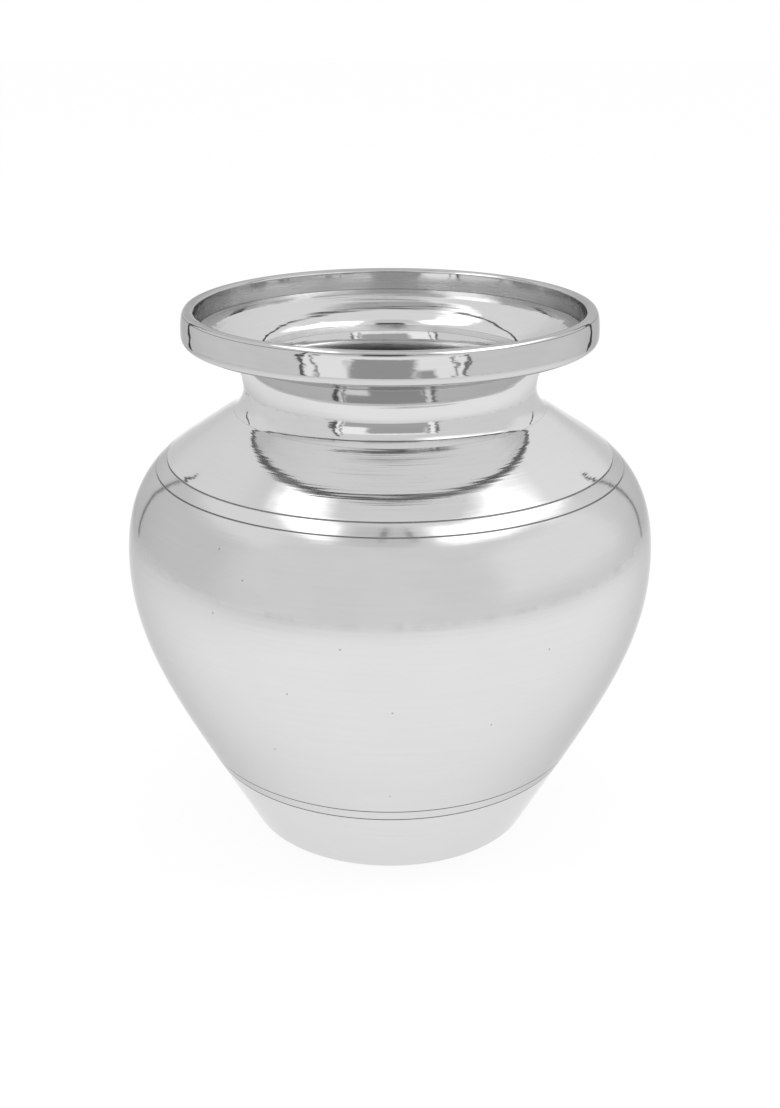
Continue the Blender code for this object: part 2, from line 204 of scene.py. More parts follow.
class KALASH_PG_studio(bpy.types.PropertyGroup):
    """Floor, tent, lamps and camera."""
    floor_radius: length("Floor", "Radius of the pale floor", 4.0)
    floor_glow: share("Floor glow", "Part of the floor's white that no shadow takes", 0.84)
    floor_white: share("Floor white", "Diffuse white of the floor as the camera sees it", 0.18)
    tent_radius: length("Tent", "Radius of the tent that the metal reflects", 0.40)
    tent_gap: length("Tent gap", "Between the tent's layers", 0.002)
    tent_wall: length("Tent wall", "Height of the tent's upright wall", 0.40)
    tent_eye: length("Tent eye", "Height from which the tent's patches are measured", 0.09)
    world_level: share("World", "Level of the soft light from all round", 0.85)
    lamp_power: FloatProperty(name="Lamps", description="Power of each soft lamp", default=1.6,
                              unit="POWER")
    camera_distance: length("Camera distance", "From the pot's axis, level", 0.3404)
    camera_height: length("Camera height", "Above the floor", 0.1967)
    camera_pitch: angle("Camera pitch", "How far the camera looks down", 20.93)
    focal_pixels: FloatProperty(name="Focal length", description="In the photograph's pixels",
                                default=1497.5)


# Outlines

def direction(turned):
    """Unit vector in the profile's plane: 0 points outwards, a quarter turn points up."""
    return np.array([math.cos(turned), math.sin(turned)])


def arc(centre, radius, start, end):
    """Points on a circle: the centre plus the radius times the cosine and sine of each angle."""
    angles = np.linspace(start, end, FINE_POINTS)
    return np.array(centre) + radius * np.column_stack([np.cos(angles), np.sin(angles)])


def curve(start, start_handle, end_handle, end):
    """Cubic curve: the four points weighted by the terms of (1 - t + t) to the power of three."""
    t = np.linspace(0.0, 1.0, FINE_POINTS)[:, None]
    corners = [np.array(p, dtype=float) for p in (start, start_handle, end_handle, end)]
    weights = [(1 - t) ** 3, 3 * t * (1 - t) ** 2, 3 * t * t * (1 - t), t ** 3]
    return sum(weight * corner for weight, corner in zip(weights, corners))


class Profile:
    """A fine line in the profile's plane that can be cut into rows at any depth below it."""

    def __init__(self, mesh, *stretches):
        points = np.vstack(stretches)
        apart = np.linalg.norm(np.diff(points, axis=0), axis=1) > SAME_POINT
        self.points = points[np.concatenate([[True], apart])]
        steps = np.diff(self.points, axis=0)
        self.length = np.concatenate([[0.0], np.cumsum(np.linalg.norm(steps, axis=1))])
        turned = np.unwrap(np.arctan2(steps[:, 1], steps[:, 0]))
        middles = (self.length[1:] + self.length[:-1]) / 2
        self.turn = np.interp(self.length, middles, turned)
        turning = np.concatenate([[0.0], np.cumsum(np.abs(np.diff(self.turn)))])
        self.measure = turning / mesh.row_turn + self.length / mesh.row_length
        self.support = mesh.row_length * CORNER_ROWS

    def at_height(self, height):
        """Distance along the line at which it reaches a height. The line only ever rises."""
        return float(np.interp(height, self.points[:, 1], self.length))

    def place(self, distance, depth=0.0):
        """The point on the line, moved by the depth along the line's inward normal."""
        distance = np.asarray(distance, dtype=float)
        across = np.interp(distance, self.length, self.points[:, 0])
        up = np.interp(distance, self.length, self.points[:, 1])
        turn = np.interp(distance, self.length, self.turn)
        return np.stack([across - depth * np.sin(turn), up + depth * np.cos(turn)], axis=-1)

    def run(self, start, end, depth=0.0, closeness=1.0):
        """Points from one distance to another: evenly spaced in turn and length taken together,
        with a few more close to both ends, so that shading stays true next to a corner."""
        low, high = np.interp([start, end], self.length, self.measure)
        count = max(2, math.ceil(abs(high - low) * closeness))
        inner = np.interp(np.linspace(low, high, count + 1), self.measure, self.length)
        near = np.sort(self.support[self.support < abs(end - start) / 3])
        sign = 1.0 if end > start else -1.0
        kept = inner[(np.abs(inner - start) > near.max(initial=0)) &
                     (np.abs(inner - end) > near.max(initial=0))]
        distances = np.concatenate([[start], start + sign * near, kept,
                                    end - sign * near[::-1], [end]])
        return self.place(distances, depth)


def straight(start, end, rows):
    """Points on a straight stretch, bunched towards both ends: t is half of 1 minus the cosine."""
    t = (1 - np.cos(np.linspace(0, math.pi, rows + 1))) / 2
    return np.array(start) + t[:, None] * (np.array(end) - np.array(start))


def eased(points, ease, closed):
    """Rounds each corner of an outline with a quadratic curve between points a little before and
    after it: (1 - t) squared, 2t(1 - t) and t squared times the start, the corner and the end."""
    keep = np.linalg.norm(points - np.roll(points, 1, axis=0), axis=1) > SAME_POINT
    keep[0] = keep[0] or not closed
    points = points[keep]
    back, ahead = np.roll(points, 1, axis=0) - points, np.roll(points, -1, axis=0) - points
    back_length, ahead_length = np.linalg.norm(back, axis=1), np.linalg.norm(ahead, axis=1)
    back = back / back_length[:, None]
    ahead = ahead / ahead_length[:, None]
    corner = (-back * ahead).sum(axis=1) < math.cos(CORNER_TURN)
    if not closed:
        corner[[0, -1]] = False
    reach = np.where(corner, np.minimum(ease, EASE_SHARE * np.minimum(back_length, ahead_length)), 0.0)
    t = CORNER_STEPS[None, :, None]
    start = (points + reach[:, None] * back)[:, None, :]
    end = (points + reach[:, None] * ahead)[:, None, :]
    rounded = (1 - t) ** 2 * start + 2 * t * (1 - t) * points[:, None, :] + t * t * end
    used = corner[:, None] | (np.arange(len(CORNER_STEPS)) == 0)[None, :]
    return rounded[used]


class PotPlan:
    """The profile of the whole pot and the outline of each piece, worked out from the sizes."""

    def __init__(self, scene):
        self.body, self.neck = scene.kalash_body, scene.kalash_neck
        self.mouth, self.joints, self.mesh = scene.kalash_mouth, scene.kalash_joints, scene.kalash_mesh
        self.skin, waist_height = self.body_profile()
        skin, joints, mouth = self.skin, self.joints, self.mouth
        self.half_wall = (joints.wall - joints.clearance) / 2
        self.half_gap, self.half_line = joints.hairline / 2, joints.heavy_line / 2
        self.inner_depth = self.half_wall + joints.hairline
        self.neck_top, self.skin_end = skin.points[-1], skin.length[-1]
        self.base_seam = skin.at_height(joints.base_seam_height)
        self.shoulder_seam = skin.at_height(joints.shoulder_seam_height)
        self.neck_seam = skin.at_height(waist_height - joints.neck_seam_drop)
        self.tongue_end = self.skin_end - joints.neck_lap
        self.edge_radius = mouth.rim_radius - mouth.rim_overhang
        rise = (self.edge_radius - self.neck_top[0]) * math.tan(mouth.underside_slope)
        self.edge_height = self.neck_top[1] + rise
        self.dish_top = self.edge_height + mouth.edge_thickness
        self.rim_wall_radius = self.edge_radius - mouth.wall_inset
        self.crown_line = (self.dish_top + joints.clearance + mouth.wall_height
                           + mouth.inner_drop - mouth.crown_line_drop)

    def body_profile(self):
        """The skin: base rounding, lower wall, shoulder, hollow root and hollow flare of the neck."""
        body, neck = self.body, self.neck
        lean = body.wall_lean
        base_edge = arc((body.base_flat_radius, body.base_edge_radius), body.base_edge_radius,
                        -math.pi / 2, -lean)
        foot = base_edge[-1]
        belly = np.array([body.belly_radius, foot[1] + body.belly_rise])
        upwards = direction(math.pi / 2)
        lower_wall = curve(foot, foot + body.wall_stretch * direction(math.pi / 2 - lean),
                           belly - body.belly_lower_stretch * upwards, belly)
        inward = direction(math.pi - body.shoulder_slope)
        shoulder = np.array([body.shoulder_radius, belly[1] + body.shoulder_rise])
        upper_wall = curve(belly, belly + body.belly_upper_stretch * upwards,
                           shoulder - body.shoulder_stretch * inward, shoulder)
        touch = math.pi / 2 - body.shoulder_slope
        root_end = neck.radius + neck.root_radius * (1 - math.cos(touch))
        root_height = shoulder[1] + (shoulder[0] - root_end) * math.tan(body.shoulder_slope)
        waist_height = root_height + neck.root_radius * math.sin(touch)
        root = arc((neck.radius + neck.root_radius, waist_height), neck.root_radius,
                   math.pi + touch, math.pi)
        flare_turn = math.asin(min(1.0, neck.flare_rise / neck.flare_radius))
        flare = arc((neck.radius + neck.flare_radius, waist_height), neck.flare_radius,
                    math.pi, math.pi - flare_turn)
        return Profile(self.mesh, base_edge, lower_wall, upper_wall, root, flare), waist_height

    def inner(self, start, end, depth):
        return self.skin.run(start, end, depth, self.mesh.inner_share)

    def lined(self, start, end, heights=()):
        """The skin from one distance to another, with a V groove at each height given."""
        stretches = []
        for height in heights:
            middle = self.skin.at_height(height)
            half = self.joints.fine_line / 2
            stretches.append(self.skin.run(start, middle - half))
            stretches.append(self.skin.place([middle], self.joints.line_depth))
            start = middle + half
        return np.vstack([*stretches, self.skin.run(start, end)])

    def groove_bottom(self, seam):
        return self.skin.place([seam], self.joints.line_depth)

    def base_cup(self):
        body, joints = self.body, self.joints
        socket = self.base_seam - joints.lap - 2 * joints.clearance - joints.solder_height
        inner = self.inner(socket, 0.0, joints.wall)
        inner = inner[inner[:, 1] > body.floor_thickness + body.floor_corner]
        foot = inner[-1]
        corner_drop = (foot[1] - body.floor_thickness) * math.tan(body.wall_lean)
        corner = np.array([foot[0] - corner_drop, body.floor_thickness])
        floor_end = corner - np.array([body.floor_corner, 0.0])
        rounding = Profile(self.mesh, curve(foot, (foot + corner) / 2, (floor_end + corner) / 2,
                                            floor_end))
        flat_end = (body.base_flat_radius, 0.0)
        return np.vstack([
            straight((0.0, 0.0), flat_end, rows=10)[:-1],
            self.lined(0.0, self.base_seam - self.half_line),
            self.groove_bottom(self.base_seam - self.half_gap),
            self.inner(self.base_seam - self.half_gap, socket, self.half_wall),
            inner,
            rounding.run(0.0, rounding.length[-1], closeness=self.mesh.inner_share)[1:],
            straight(floor_end, (0.0, body.floor_thickness), rows=8)[1:],
        ])

    def belly_shell(self):
        joints = self.joints
        heights = (joints.base_line_height, joints.shoulder_line_height)
        top, bottom = self.shoulder_seam + joints.lap, self.base_seam - joints.lap
        return np.vstack([
            self.groove_bottom(self.base_seam + self.half_gap),
            self.lined(self.base_seam + self.half_line, self.shoulder_seam - self.half_line, heights),
            self.groove_bottom(self.shoulder_seam - self.half_gap),
            self.inner(self.shoulder_seam - self.half_gap, top, self.inner_depth),
            self.inner(top, bottom, joints.wall),
            self.inner(bottom, self.base_seam + self.half_gap, self.inner_depth),
        ])

    def shoulder_shell(self):
        joints = self.joints
        socket = self.shoulder_seam + joints.lap + 2 * joints.clearance + joints.solder_height
        top = self.neck_seam + joints.neck_lap
        return np.vstack([
            self.groove_bottom(self.shoulder_seam + self.half_gap),
            self.lined(self.shoulder_seam + self.half_line, self.neck_seam - self.half_gap),
            self.inner(self.neck_seam - self.half_gap, top, self.inner_depth),
            self.inner(top, socket, joints.wall),
            self.inner(socket, self.shoulder_seam + self.half_gap, self.half_wall),
        ])

    def neck_collar(self):
        joints = self.joints
        lower = self.neck_seam + joints.neck_lap + 2 * joints.clearance + joints.neck_solder_height
        upper = self.tongue_end - 2 * joints.clearance - joints.neck_solder_height
        return np.vstack([
            self.lined(self.neck_seam + self.half_gap, self.skin_end - self.half_gap),
            self.inner(self.skin_end - self.half_gap, upper, self.half_wall),
            self.inner(upper, lower, joints.wall),
            self.inner(lower, self.neck_seam + self.half_gap, self.half_wall),
        ])

    def mouth_dish(self):
        mouth, joints, skin = self.mouth, self.joints, self.skin
        neck_way, underside_way = direction(skin.turn[-1]), direction(mouth.underside_slope)
        rebate = joints.rim_solder + joints.clearance
        start = np.array([self.rim_wall_radius, self.dish_top])
        throat = skin.place(self.tongue_end, joints.wall)
        throat_way = direction(np.interp(self.tongue_end, skin.length, skin.turn))
        dish = Profile(self.mesh, curve(start, start - mouth.top_stretch * direction(mouth.top_slope),
                                        throat + mouth.throat_stretch * throat_way, throat))
        underside = self.neck_top + self.half_gap / float(underside_way @ neck_way) * underside_way
        edge = np.array([self.edge_radius, self.edge_height])
        inwards, downwards = np.array([-rebate, 0.0]), np.array([0.0, -rebate])
        top_edge = edge + np.array([0.0, mouth.edge_thickness])
        return np.vstack([
            throat,
            self.inner(self.tongue_end, self.skin_end, self.inner_depth),
            skin.place(self.skin_end, self.inner_depth) + self.half_gap * neck_way,
            straight(underside, edge, rows=12),
            straight(edge, top_edge + downwards, rows=4)[1:],
            top_edge + downwards + inwards,
            top_edge + inwards,
            dish.run(0.0, dish.length[-1]),
        ])

    def rim_ring(self):
        mouth, joints = self.mouth, self.joints
        outwards, upwards = np.eye(2)
        bore = self.edge_radius + joints.rim_gap
        seat = self.dish_top + joints.rim_gap
        bottom = self.edge_height + joints.clearance * math.tan(mouth.underside_slope)
        inner_edge = np.array([self.rim_wall_radius + mouth.wall_draft,
                               self.dish_top + joints.clearance + mouth.wall_height])
        crown = np.array([mouth.rim_radius - mouth.crown_width, inner_edge[1] + mouth.inner_drop])
        widest = np.array([mouth.rim_radius, bottom + mouth.widest_rise])
        flat_end = np.array([self.edge_radius + joints.clearance + mouth.bottom_flat, bottom])
        inner_width = crown[0] - inner_edge[0]
        outside = Profile(
            self.mesh,
            curve(flat_end, flat_end + mouth.heel_stretch * outwards,
                  widest - mouth.lower_stretch * upwards, widest),
            curve(widest, widest + mouth.band_stretch * upwards,
                  crown + mouth.crown_stretch * outwards, crown),
            curve(crown, crown - ROUND_HANDLE * inner_width * outwards,
                  inner_edge + ROUND_HANDLE * mouth.inner_drop * upwards, inner_edge),
        )
        return np.vstack([
            straight((bore, seat), (bore, bottom), rows=6),
            outside.run(0.0, outside.length[-1], closeness=2.0),
            straight(inner_edge, (self.rim_wall_radius, seat), rows=8)[1:],
        ])

    def solder_band(self, start, height):
        """Flat ring of solder at the end of a lap, level with the inside of the wall."""
        joints = self.joints
        return np.vstack([self.inner(start, start + height, self.inner_depth),
                          self.inner(start + height, start, joints.wall)])

    def solder_wire(self):
        """Square wire under the rim ring."""
        side = self.joints.rim_solder
        low, inside = self.dish_top - side, self.edge_radius - side
        return np.array([(inside, low), (self.edge_radius, low), (self.edge_radius, self.dish_top),
                         (inside, self.dish_top)])

    def solder_rings(self):
        """The solder fills each joint from lap to lap, clearances and all."""
        joints = self.joints
        gap = joints.hairline
        high = joints.solder_height + 2 * (joints.clearance - gap)
        low = joints.neck_solder_height + 2 * (joints.clearance - gap)
        return {
            "base_solder_ring": self.solder_band(self.base_seam - joints.lap - gap - high, high),
            "shoulder_solder_ring": self.solder_band(self.shoulder_seam + joints.lap + gap, high),
            "neck_solder_ring": self.solder_band(self.neck_seam + joints.neck_lap + gap, low),
            "dish_solder_ring": self.solder_band(self.tongue_end - gap - low, low),
            "rim_solder_ring": self.solder_wire(),
        }


# Meshes

def mesh_from_grid(name, points, faces):
    """A mesh from an array of points and a list of arrays of faces, each with equal corners."""
    loops = np.concatenate([block.ravel() for block in faces]).astype(np.int32)
    sizes = np.concatenate([np.full(len(block), block.shape[1]) for block in faces])
    starts = np.concatenate([[0], np.cumsum(sizes)[:-1]]).astype(np.int32)
    mesh = bpy.data.meshes.new(name)
    mesh.vertices.add(len(points))
    mesh.vertices.foreach_set("co", points.astype(np.float32).ravel())
    mesh.loops.add(len(loops))
    mesh.loops.foreach_set("vertex_index", loops)
    mesh.polygons.add(len(starts))
    mesh.polygons.foreach_set("loop_start", starts)
    mesh.update(calc_edges=True)
    mesh.validate()
    mesh.shade_smooth()
    return mesh


def turned_mesh(name, outline, steps, closed=True):
    """Surface of revolution: (radius, height) of the outline turned through every angle, so a point
    is radius times cosine, radius times sine, height. An open outline's end on the axis is a pole."""
    starts, ends = (not closed and abs(outline[end, 0]) < SAME_POINT for end in (0, -1))
    rings = outline[int(starts):len(outline) - int(ends)]
    angles = np.arange(steps) * (2 * math.pi / steps)
    ways = np.stack([np.cos(angles), np.sin(angles)], axis=1)
    flat = rings[:, None, :1] * ways[None, :, :]
    high = np.broadcast_to(rings[:, None, 1:], (len(rings), steps, 1))
    points = np.concatenate([flat, high], axis=2).reshape(-1, 3)
    row = np.arange(len(rings) if closed else len(rings) - 1)[:, None]
    step = np.arange(steps)[None, :]
    upper, turned = (row + 1) % len(rings), (step + 1) % steps
    faces = [np.stack([row * steps + step, row * steps + turned,
                       upper * steps + turned, upper * steps + step], axis=-1).reshape(-1, 4)]
    step, turned, top = step[0], turned[0], (len(rings) - 1) * steps
    if starts:
        faces.append(np.stack([np.full(steps, len(points)), turned, step], axis=1))
        points = np.vstack([points, [(0.0, 0.0, outline[0, 1])]])
    if ends:
        faces.append(np.stack([top + step, top + turned, np.full(steps, len(points))], axis=1))
        points = np.vstack([points, [(0.0, 0.0, outline[-1, 1])]])
    return mesh_from_grid(name, points, faces)


def new_object(context, name, data):
    thing = bpy.data.objects.new(name, data)
    context.scene.collection.objects.link(thing)
    return thing


# Shader maths

class Wire:
    """A node's output socket. Arithmetic on wires adds Math nodes, also with plain numbers."""

    def __init__(self, bench, socket):
        self.bench = bench
        self.socket = socket

    def math(self, operation, *others):
        return self.bench.add("ShaderNodeMath", {"operation": operation},
                              dict(enumerate((self, *others))))

    def __add__(self, other):
        return self.math("ADD", other)

    def __sub__(self, other):
        return self.math("SUBTRACT", other)

    def __rsub__(self, other):
        return -self + other

    def __mul__(self, other):
        return self.math("MULTIPLY", other)

    def __truediv__(self, other):
        return self.math("DIVIDE", other)

    def __rtruediv__(self, other):
        return self.math("POWER", -1.0) * other

    def __neg__(self):
        return self.math("MULTIPLY", -1.0)

    __radd__ = __add__
    __rmul__ = __mul__

    def rises(self, low, high):
        """0 below low, 1 above high, and a smooth step between. It falls if low is above high."""
        ends = (1.0, 0.0) if low > high else (0.0, 1.0)
        return self.bench.add("ShaderNodeMapRange", {"interpolation_type": "SMOOTHSTEP"},
                              {0: self, 1: min(low, high), 2: max(low, high), 3: ends[0], 4: ends[1]})

    def within(self, low, high, soft):
        """1 between two values and 0 outside them, with soft edges."""
        return self.rises(low - soft, low + soft) * self.rises(high + soft, high - soft)


class Bench:
    """The nodes of a material or a world. One method adds any node."""

    def __init__(self, owner):
        owner.use_nodes = True
        self.owner, self.tree = owner, owner.node_tree
        self.tree.nodes.clear()

    def add(self, kind, settings=None, sockets=None, output=0):
        """Adds a node, makes its settings, then fills its sockets with values or wires."""
        node = self.tree.nodes.new(kind)
        for name, value in (settings or {}).items():
            setattr(node, name, value)
        for name, value in (sockets or {}).items():
            socket = node.inputs[name]
            if isinstance(value, Wire):
                self.tree.links.new(value.socket, socket)
            else:
                socket.default_value = value
        return Wire(self, node.outputs[output]) if node.outputs else node

    def vector(self, operation, *values, output=0):
        return self.add("ShaderNodeVectorMath", {"operation": operation}, dict(enumerate(values)),
                        output)

    def combine(self, x, y, z):
        return self.add("ShaderNodeCombineXYZ", None, {0: x, 1: y, 2: z})

    def noise(self, place, detail=1.0, rough=0.5, scale=1.0):
        return self.add("ShaderNodeTexNoise", {"noise_dimensions": "3D"},
                        {"Vector": place, "Scale": scale, "Detail": detail, "Roughness": rough})

    def mix(self, factor, first, second):
        return self.add("ShaderNodeMix", {"data_type": "RGBA"},
                        {"Factor": factor, 6: first, 7: second}, 2)

    def shown(self):
        """1 where the camera, a mirror or a clear thing shows it, and 1 where a mirror does."""
        rays = self.add("ShaderNodeLightPath").socket.node.outputs
        mirrored = Wire(self, rays["Is Glossy Ray"])
        shown = Wire(self, rays["Is Camera Ray"]).math("MAXIMUM", mirrored)
        return shown.math("MAXIMUM", Wire(self, rays["Is Transmission Ray"])), mirrored


class MaterialBench(Bench):
    """A new material, which knows the place on its piece and how far that is from the pot's axis."""

    def __init__(self, name):
        super().__init__(bpy.data.materials.new(name))
        self.place = self.add("ShaderNodeTexCoord", None, None, "Object")
        parts = self.add("ShaderNodeSeparateXYZ", None, {0: self.place})
        self.x, self.y, self.height = (Wire(self, socket) for socket in parts.socket.node.outputs)
        self.radius = (self.x * self.x + self.y * self.y).math("SQRT")

    def metal(self, sockets):
        """A Principled shader that is all metal."""
        return self.finish(self.add("ShaderNodeBsdfPrincipled", None, {"Metallic": 1.0, **sockets}))

    def finish(self, surface):
        self.add("ShaderNodeOutputMaterial", None, {"Surface": surface})
        return self.owner


class TurnedMetal(MaterialBench):
    """A metal that was turned on a lathe: places on it are an angle, and a distance along its line."""

    def __init__(self, name, rise_share, radius_share):
        super().__init__(name)
        across, back = self.x / self.radius, self.y / self.radius
        self.outward = self.combine(across, back, 0.0)
        self.around = self.combine(-back, across, 0.0)
        self.along = self.height * rise_share + self.radius * radius_share
        self.normal = self.add("ShaderNodeNewGeometry", None, None, "Normal")

    def ring_noise(self, spacing, spread, detail, seed=0.0):
        """Noise that changes fast along the line and slowly round the pot, centred on 0."""
        level = self.combine(seed, seed * SEED_STRETCH, self.along / spacing)
        return self.noise(self.vector("ADD", self.scaled(self.outward, spread), level), detail) - 0.5

    def spot_noise(self, spacing, detail, seed):
        """Noise of the same size in every direction, centred on 0."""
        place = self.vector("MULTIPLY_ADD", self.place, (1 / spacing,) * 3, (seed,) * 3)
        return self.noise(place, detail) - 0.5

    def scaled(self, way, amount):
        """A vector times a number or a wire."""
        return self.add("ShaderNodeVectorMath", {"operation": "SCALE"}, {0: way, "Scale": amount})

    def tilted(self, along_slope, round_slope):
        """The normal tilted by two slopes: the normal, plus one slope times the way along the line
        and the other times the way round the pot, made one long again. The way along the line is
        the normal crossed with the way round."""
        up_line = self.vector("CROSS_PRODUCT", self.normal, self.around)
        tilt = self.vector("ADD", self.scaled(up_line, along_slope),
                           self.scaled(self.around, round_slope))
        return self.vector("NORMALIZE", self.vector("ADD", self.normal, tilt))

    def near(self, points, radius):
        """1 close to any of the points, and 0 further away than a little over the radius."""
        nearest = None
        for point in points:
            apart = self.vector("DISTANCE", self.place, point, output=1)
            nearest = apart if nearest is None else nearest.math("MINIMUM", apart)
        return nearest.rises(radius * PIT_EDGE[0], radius * PIT_EDGE[1])


def rgba(tone, level=1.0):
    """A colour made lighter or darker, with its alpha."""
    return (*(min(1.0, part * level) for part in tone), 1.0)


def grey(level):
    return (level, level, level, 1.0)


# How each silver was turned: slopes of its fine, middle and broad marks and of its ripples, shares of
# height and radius in the distance along its line, tint at a glancing angle, spacing of fine marks
TURNED = {
    "base_silver": (0.05, 0.04, 0.03, 0.02, (1.0, 0.7), 0.90, 0.00036),
    "belly_silver": (0.06, 0.05, 0.03, 0.02, (1.0, 0.0), 0.70, 0.00036),
    "shoulder_silver": (0.15, 0.03, 0.01, 0.01, (0.6, -0.9), 0.85, 0.00045),
    "neck_silver": (0.06, 0.08, 0.04, 0.06, (1.0, 0.0), 0.85, 0.00036),
    "dish_silver_turned": (0.12, 0.20, 0.07, 0.05, (0.5, 1.0), 0.85, 0.00036),
    "rim_silver_turned": (0.05, 0.06, 0.05, 0.10, (1.0, -0.8), 0.70, 0.00036),
}
# Marks that run round the pot: reach round it and detail of the fine ones, then spacing, reach,
# detail and seed of the others
FINE_MARKS = (1.4, 2.0)
MIDDLE_MARKS = (0.0012, 1.0, 2.0, 3.1)
BROAD_MARKS = (0.0050, 0.8, 1.0, 7.7)
WEAR_MARKS = (0.0007, 2.4, 3.0, 5.3)
# Marks that run no way: spacing, detail and seed
RIPPLES = (0.0032, 1.0, 2.3)
SMUDGES = (0.016, 3.0, 9.1)
WELL_TURNED = (0.030, 2.0, 4.4)
WELL_TURNED_FROM_TO = (-0.12, 0.14)
MARK_STRENGTH = (0.5, 0.7)       # least strength of the marks, and what a well turned patch adds
SEED_STRETCH = 1.7
UNEVEN = 0.05                    # how much smudges and wear each change the roughness
TONES = (0.95, 1.04)             # darkest and lightest tone of a metal, against its colour
TOWARDS_AXIS = (-0.02, -0.3)     # the normal's outward part where a piece's inside begins
DOWNWARDS = (-0.70, -0.86)       # the normal's rise where the dish's underside begins
# Under the rim ring, where the normal's rise is in this range, the colour is painted shade
RING_DOWNWARDS = (-0.88, -0.97)  # the same for the rim ring
# Below the top of the throat, of the tongue and of the ring's inner wall, the darker colour is painted
# shade; it and the roughness fade in over this height
INSIDE_SHADE_FADE = 0.0022             # height over which the polish runs out inside
# The side colour is the metal's own inside or underside colour for the body and the dish, and painted
# shade in the throat, on the tongue, on the ring's inner wall and under the ring
SIDE_TONE_AND_SHADE = (0.9, 1.5)          # share of an inside's or underside's own colour, and wear's effect
LINE_SOFTNESS = 0.00006
LINE_ROUGHNESS = 0.25
PIT_RADIUS = 0.00022
PIT_EDGE = (1.3, 0.5)            # radii between which a pit's edge fades
PIT_SHARE = 0.6                  # how much of the line residue's colour a pit has
BRUSHED = {"Anisotropic": 0.4, "Anisotropic Rotation": 0.25}


def polished_metal(name, finish, silver, gloss, inside, inside_top=None, under=None,
                   under_from_to=DOWNWARDS, lines=(), pits=()):
    """Polished turned metal. The marks tilt the normal. The side that faces the axis and the side
    that faces down may each have a colour and a roughness of its own, the first one only below a
    height if inside_top is given, and the second where the normal's rise is in a range. In the
    throat, on the tongue, on the rim ring's inner wall and under the ring that colour is painted shade."""
    fine_slope, middle_slope, broad_slope, ripple_slope, shares, edge, spacing = TURNED[name]
    metal = TurnedMetal(name, *shares)
    fine = metal.ring_noise(spacing, *FINE_MARKS)
    middle, broad, wear = (metal.ring_noise(*marks) for marks in (MIDDLE_MARKS, BROAD_MARKS, WEAR_MARKS))
    ripple, smudge = metal.spot_noise(*RIPPLES), metal.spot_noise(*SMUDGES)
    patches = metal.spot_noise(*WELL_TURNED).rises(*WELL_TURNED_FROM_TO)
    strength = patches * MARK_STRENGTH[1] + MARK_STRENGTH[0]
    along = (fine * fine_slope + middle * middle_slope) * strength + broad * broad_slope
    rough = smudge * UNEVEN + wear * UNEVEN + gloss
    tone = metal.mix(smudge * 0.5 + wear * 0.5 + 0.5, *(rgba(silver, level) for level in TONES))
    # This side colour is painted shade in the throat, on the tongue, on the ring's inner wall and under
    # the ring
    for way, from_to, top, other in ((metal.outward, TOWARDS_AXIS, inside_top, inside),
                                     ((0.0, 0.0, 1.0), under_from_to, None, under)):
        if other:
            hidden = metal.vector("DOT_PRODUCT", metal.normal, way, output=1).rises(*from_to)
            if top:
                hidden = hidden * metal.height.rises(top, top - INSIDE_SHADE_FADE)
            own = hidden * (wear * SIDE_TONE_AND_SHADE[1] + SIDE_TONE_AND_SHADE[0])
            tone = metal.mix(own, tone, rgba(other[0]))
            rough = rough + hidden * (other[1] - gloss)
    for height, width in lines:
        residue = metal.height.within(height - width / 2, height + width / 2, LINE_SOFTNESS)
        tone = metal.mix(residue, tone, rgba(finish.residue_and_shade))
        rough = rough + residue * LINE_ROUGHNESS
    if pits:
        tone = metal.mix(metal.near(pits, PIT_RADIUS) * PIT_SHARE, tone, rgba(finish.residue_and_shade))
    return metal.metal({"Base Color": tone, "Roughness": rough, "Specular Tint": grey(edge), **BRUSHED,
                        "Normal": metal.tilted(along, ripple * ripple_slope)})


# Detail, roughness and scale of the solder's clouds and grain, and its tones and roughness
SOLDER_CLOUDS = (4.0, 0.5, 400.0)
SOLDER_GRAIN = (2.0, 0.5, 3000.0)
SOLDER_TONES = (0.93, 1.07)
SOLDER_ROUGHNESS = (0.16, 0.15)
SOLDER_SKIN = {"Strength": 0.2, "Distance": 0.00005}


def solder_metal(finish):
    """Dull solder: clouded grey with a grainy skin."""
    bench = MaterialBench("solder_grey")
    clouds = bench.noise(bench.place, *SOLDER_CLOUDS)
    tone = bench.mix(clouds, *(rgba(finish.solder_grey, level) for level in SOLDER_TONES))
    rough = clouds * SOLDER_ROUGHNESS[1] + SOLDER_ROUGHNESS[0]
    skin = bench.add("ShaderNodeBump", None,
                     {**SOLDER_SKIN, "Height": bench.noise(bench.place, *SOLDER_GRAIN)})
    return bench.metal({"Base Color": tone, "Roughness": rough, "Normal": skin})


# Pieces

def add_piece(context, node, outline, material, closed=True):
    """Makes one piece, gives it its finish, and lets it stand for its node in the packed model."""
    scene = context.scene
    mesh = turned_mesh("fine_" + node, eased(outline, scene.kalash_joints.ease, closed),
                       scene.kalash_mesh.steps, closed)
    mesh.materials.append(material)
    piece = new_object(context, "fine_" + node, mesh)
    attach(piece, "root")
    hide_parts(node)


def skin_point(plan, azimuth, height):
    """The point of the outer skin at an azimuth, in degrees from the camera's side, and a height."""
    radius = float(plan.skin.place(plan.skin.at_height(height))[0])
    turned = math.radians(azimuth)
    return (radius * math.sin(turned), -radius * math.cos(turned), height)


# Azimuth in degrees and height in metres of the small pits in the polished skin
PITS = ((-20.7, 0.0569), (0.5, 0.0541), (21.6, 0.0483), (0.0, 0.0280), (-36.8, 0.0723),
        (-37.3, 0.0856), (-30.1, 0.0808), (-27.2, 0.0395), (-9.4, 0.0691), (32.6, 0.0651))

# Below this height the throat is rougher, and painted dark as shade
THROAT_SHADE_TOP = 0.1124           # height down to which the throat is polished
THROAT_ROUGHNESS = 0.3
